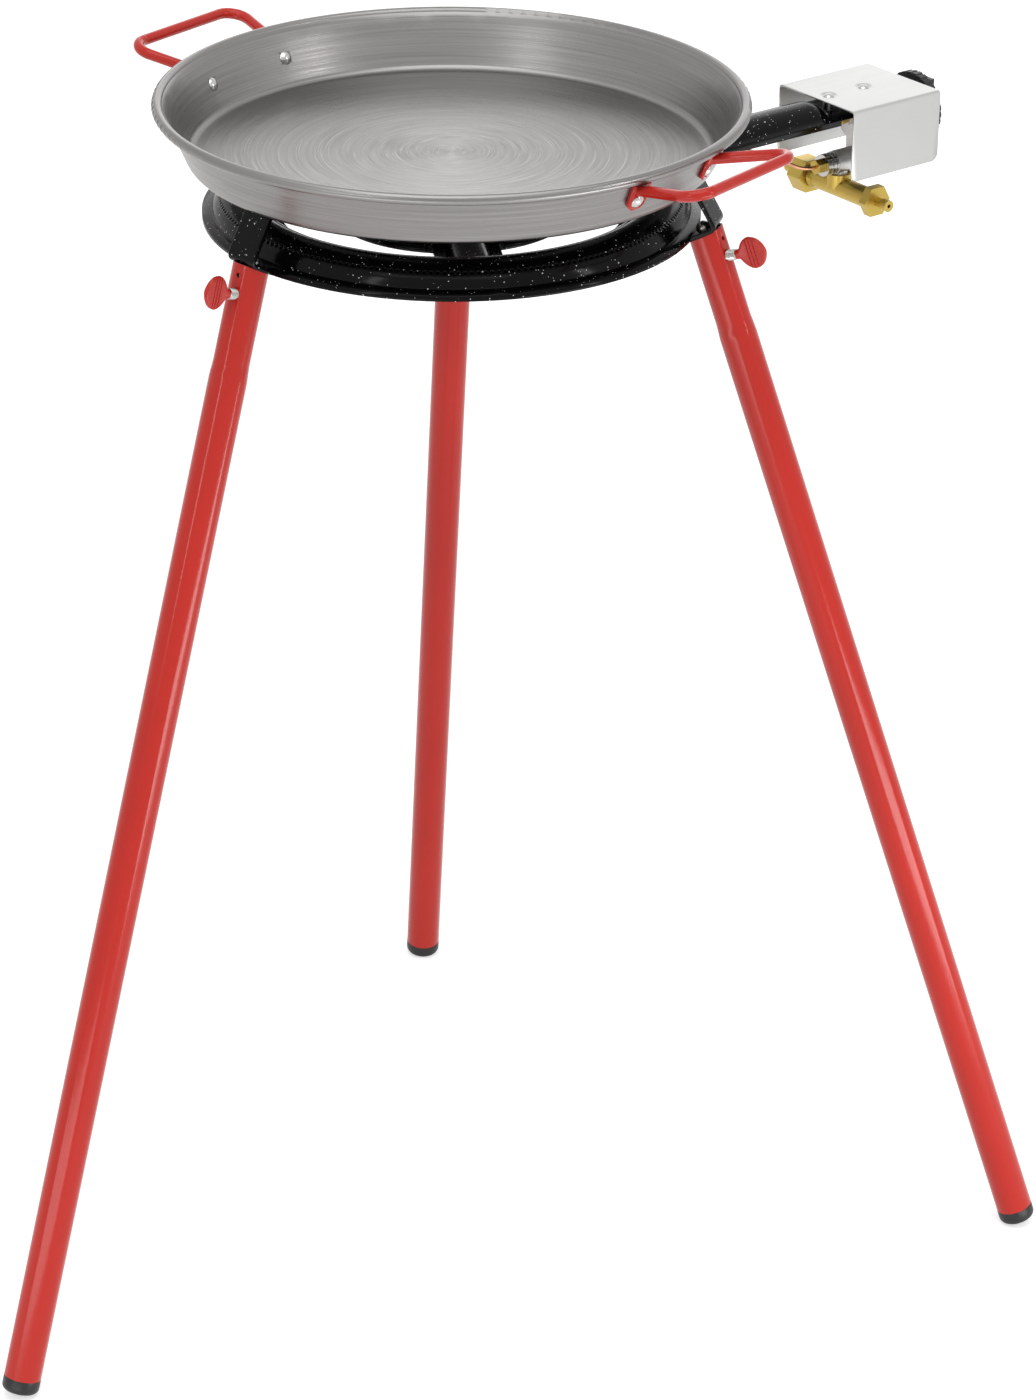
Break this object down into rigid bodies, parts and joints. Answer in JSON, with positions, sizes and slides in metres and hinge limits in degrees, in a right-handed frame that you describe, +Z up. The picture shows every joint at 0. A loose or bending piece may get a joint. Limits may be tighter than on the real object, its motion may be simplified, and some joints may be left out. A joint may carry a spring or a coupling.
{
  "type": "paella burner",
  "caption": "Gas paella burner: enamelled double ring on three red tube legs, shielded safety tap on a feed tube, and a steel pan with rod handles that lifts off.",
  "frame": {"origin": "on the floor under the middle of the overall box", "axes": "+X along the feed tube from the burner to the knob, +Y to the left of it, +Z up from the floor"},
  "size_m": [0.9192, 0.6321, 0.8648],
  "materials": {
    "pan_steel": "brushed",
    "red_paint": "gloss",
    "red_plastic": "gloss",
    "bright_steel": "bright",
    "enamel": "glossy speckled enamel",
    "zinc_steel": "zinc plated",
    "stainless": "bright sheet",
    "tap_alloy": "cast",
    "black_plastic": "satin",
    "copper": "drawn copper",
    "brass": "turned"
  },
  "bodies": {
    "frame": {"burner_top": "enamel", "burner_base": "enamel", "bracket_left": "enamel", "bracket_right": "enamel", "bracket_rear": "enamel", "leg_stud_left": "zinc_steel", "leg_stud_right": "zinc_steel", "leg_stud_rear": "zinc_steel", "valve_cover": "stainless", "cover_screws": "bright_steel", "cover_spacers": "zinc_steel", "tap_body": "tap_alloy", "tap_bonnet": "zinc_steel", "injector": "brass", "magnet_unit": "bright_steel", "thermocouple_nut": "brass", "thermocouple_lead": "copper", "thermocouple_tip": "zinc_steel", "thermocouple_clip": "zinc_steel", "gas_bar": "brass", "union_nut": "brass", "hose_nipple": "brass", "bar_plug": "brass"},
    "pan": {"pan": "pan_steel", "handle_front": "red_paint", "handle_rear": "red_paint", "handle_rivets": "bright_steel"},
    "plug": {"tap_plug": "brass", "plug_spring": "zinc_steel"},
    "knob": {"spindle": "zinc_steel", "knob": "black_plastic"},
    "leg_left": {"leg_left": "red_paint", "foot_cap_left": "black_plastic"},
    "screw_left": {"thumb_screw_left": "zinc_steel", "screw_paddle_left": "red_plastic"},
    "leg_right": {"leg_right": "red_paint", "foot_cap_right": "black_plastic"},
    "screw_right": {"thumb_screw_right": "zinc_steel", "screw_paddle_right": "red_plastic"},
    "leg_rear": {"leg_rear": "red_paint", "foot_cap_rear": "black_plastic"},
    "screw_rear": {"thumb_screw_rear": "zinc_steel", "screw_paddle_rear": "red_plastic"}
  },
  "joints": [
    {"name": "pan_lift", "type": "slide", "parent": "frame", "child": "pan", "axis": [0, 0, 1], "range_m": [0, 0.15]},
    {"name": "leg_pull_left", "type": "slide", "parent": "frame", "child": "leg_left", "axis": [-0.3212, -0.0805, -0.9436], "range_m": [0, 0.05]},
    {"name": "screw_turn_left", "type": "hinge", "parent": "leg_left", "child": "screw_left", "pos_m": [-0.18927, 0.02769, 0.7629], "axis": [-0.9081, -0.2565, 0.3311], "range_deg": [0, 360]},
    {"name": "leg_pull_right", "type": "slide", "parent": "frame", "child": "leg_right", "axis": [0.2085, -0.2464, -0.9465], "range_m": [0, 0.05]},
    {"name": "screw_turn_right", "type": "hinge", "parent": "leg_right", "child": "screw_right", "pos_m": [0.11557, -0.10609, 0.76279], "axis": [0.3066, -0.9025, 0.3025], "range_deg": [0, 360]},
    {"name": "leg_pull_rear", "type": "slide", "parent": "frame", "child": "leg_rear", "axis": [0.0617, 0.1447, -0.9876], "range_m": [0, 0.05]},
    {"name": "screw_turn_rear", "type": "hinge", "parent": "leg_rear", "child": "screw_rear", "pos_m": [0.11785, 0.19207, 0.76034], "axis": [0.6272, 0.7641, 0.1511], "range_deg": [0, 360]},
    {"name": "tap_turn", "type": "hinge", "parent": "frame", "child": "plug", "pos_m": [0.40057, 0.04594, 0.7665], "axis": [1, 0, 0], "range_deg": [0, 200]},
    {"name": "knob_push", "type": "slide", "parent": "plug", "child": "knob", "axis": [-1, 0, 0], "range_m": [0, 0.004], "stiffness_N_per_m": 1200, "springref_m": -0.002, "deforming": ["plug_spring"]}
  ]
}
